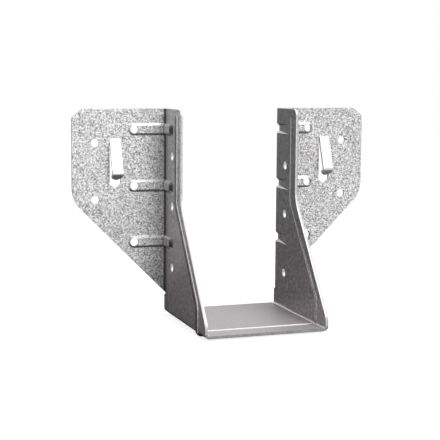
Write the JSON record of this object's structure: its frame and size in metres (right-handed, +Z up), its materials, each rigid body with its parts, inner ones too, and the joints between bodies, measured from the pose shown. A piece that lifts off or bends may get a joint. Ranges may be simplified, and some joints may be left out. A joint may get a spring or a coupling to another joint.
{
  "type": "truss hanger",
  "caption": "Face-mount truss hanger: folded galvanised sheet with a U seat, tapered side plates, nailing flanges, pressed nail guides and lanced prongs.",
  "frame": {"origin": "middle of the seat's bearing face, on the centre plane between the side plates", "axes": "+X across the truss to the right flange, +Y out of the pocket towards the header, +Z up"},
  "size_m": [0.2114, 0.0888, 0.1411],
  "materials": {
    "galvanised_steel": "spangled hot-dip zinc, semi-gloss"
  },
  "bodies": {
    "root": {"hanger": "galvanised_steel"}
  },
  "joints": []
}
